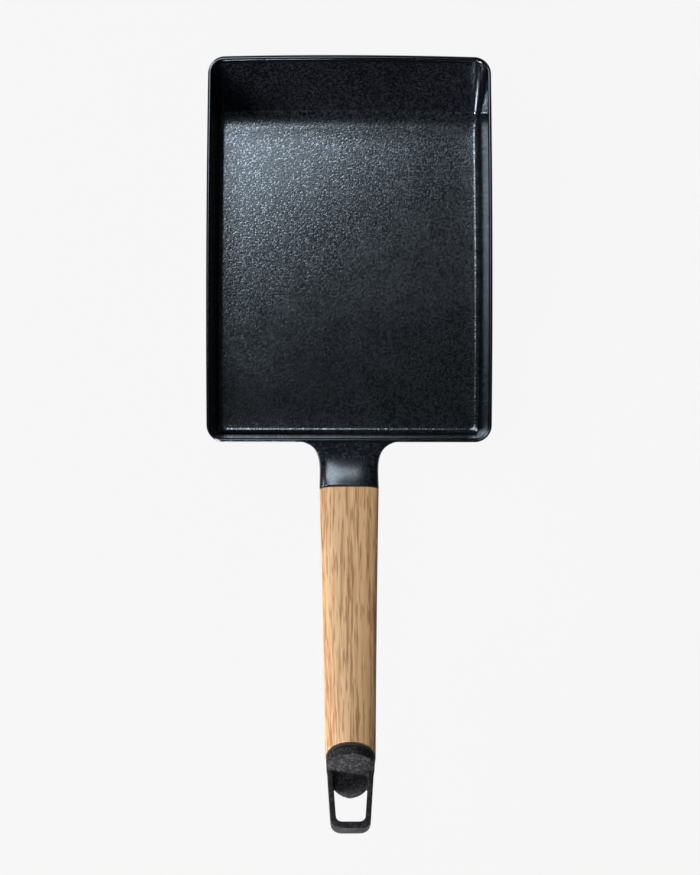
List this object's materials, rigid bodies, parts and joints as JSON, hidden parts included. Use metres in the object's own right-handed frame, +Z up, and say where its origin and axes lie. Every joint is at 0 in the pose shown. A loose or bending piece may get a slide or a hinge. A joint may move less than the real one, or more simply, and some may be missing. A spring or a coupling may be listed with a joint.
{
  "type": "frying pan",
  "caption": "Rectangular enamelled cast-iron omelette pan with a sloped far wall, a rising oak grip on a tie rod and a cast end cap with a hanging loop.",
  "frame": {"origin": "middle of the flat base, on the surface that the pan stands on", "axes": "+Z up out of the pan, -Y from the near wall along the handle, +Y towards the sloped far wall, +X to the right seen from above with the handle towards the viewer"},
  "size_m": [0.1434, 0.3795, 0.1073],
  "materials": {
    "enamel": "matte black enamel with a fine grain",
    "oak": "oiled oak with open grain",
    "cap_paint": "rough black paint on a casting",
    "gasket": "matte black",
    "steel": "zinc plated"
  },
  "bodies": {
    "root": {"pan_body": "enamel", "neck_gasket": "gasket", "grip": "oak", "cap_gasket": "gasket", "end_cap": "cap_paint", "tie_rod": "steel", "rod_washer": "steel", "spring_washer": "steel", "rod_nut": "steel"}
  },
  "joints": []
}
